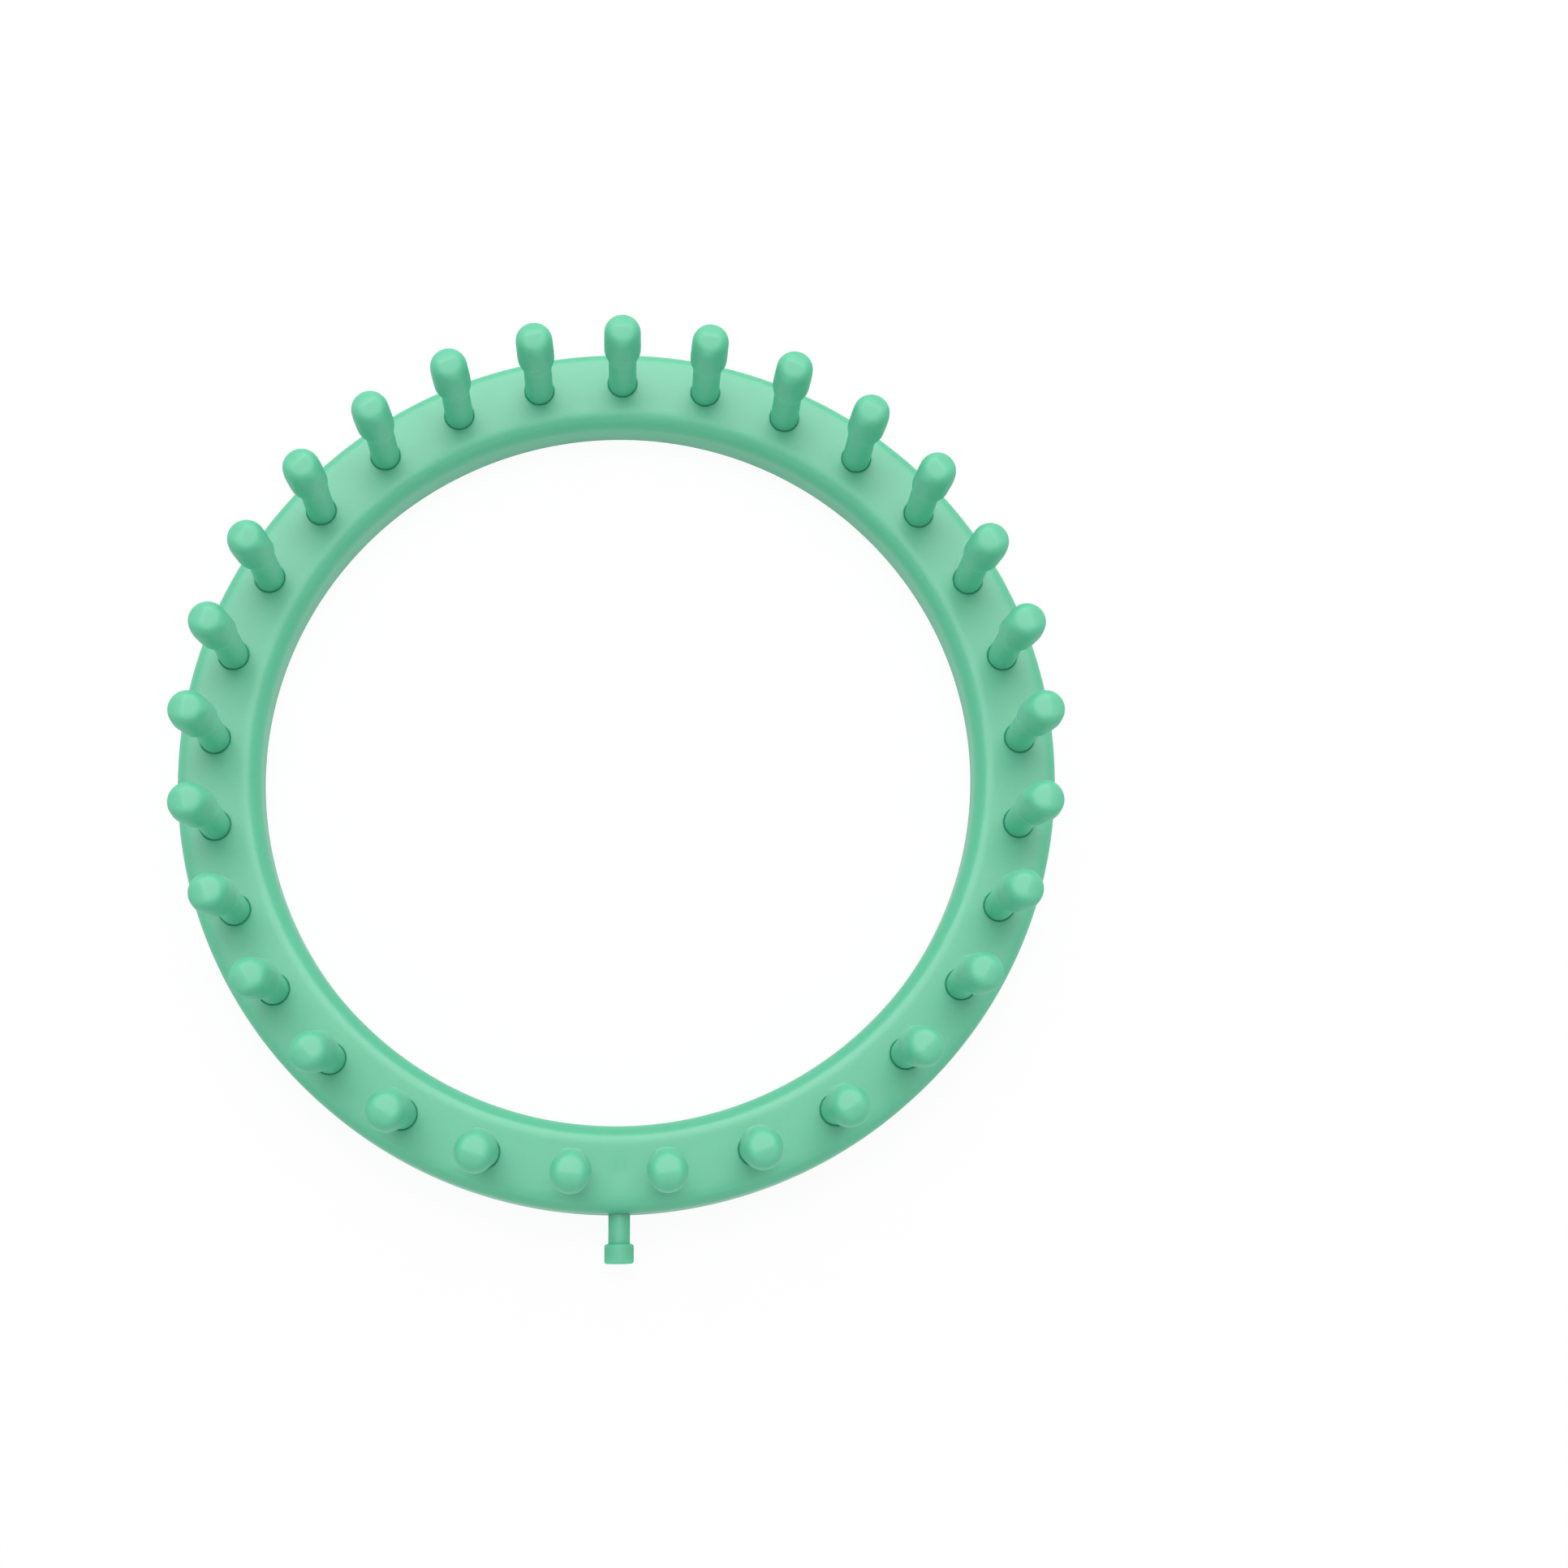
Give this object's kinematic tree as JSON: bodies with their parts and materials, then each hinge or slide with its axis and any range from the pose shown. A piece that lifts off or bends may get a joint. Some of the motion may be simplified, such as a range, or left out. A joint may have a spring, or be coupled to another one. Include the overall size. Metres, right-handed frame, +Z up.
{
  "type": "round knitting loom",
  "caption": "Round knitting loom: a low moulded plastic ring with knob-headed pegs standing on its top and a small collared peg on its side for the yarn's tail.",
  "frame": {"origin": "centre of the ring, on the plane of the two rims that it lies on", "axes": "+Z up, the way the pegs stand; -Y towards the side peg; +X to the right"},
  "size_m": [0.1905, 0.2003, 0.0395],
  "materials": {
    "ring_plastic": "satin moulded mint green, slightly translucent",
    "peg_plastic": "satin moulded mint green, slightly translucent"
  },
  "bodies": {
    "root": {"ring": "ring_plastic", "peg_01": "peg_plastic", "peg_02": "peg_plastic", "peg_03": "peg_plastic", "peg_04": "peg_plastic", "peg_05": "peg_plastic", "peg_06": "peg_plastic", "peg_07": "peg_plastic", "peg_08": "peg_plastic", "peg_09": "peg_plastic", "peg_10": "peg_plastic", "peg_11": "peg_plastic", "peg_12": "peg_plastic", "peg_13": "peg_plastic", "peg_14": "peg_plastic", "peg_15": "peg_plastic", "peg_16": "peg_plastic", "peg_17": "peg_plastic", "peg_18": "peg_plastic", "peg_19": "peg_plastic", "peg_20": "peg_plastic", "peg_21": "peg_plastic", "peg_22": "peg_plastic", "peg_23": "peg_plastic", "peg_24": "peg_plastic", "peg_25": "peg_plastic", "peg_26": "peg_plastic", "peg_27": "peg_plastic", "peg_28": "peg_plastic", "peg_29": "peg_plastic", "side_peg": "peg_plastic"}
  },
  "joints": []
}
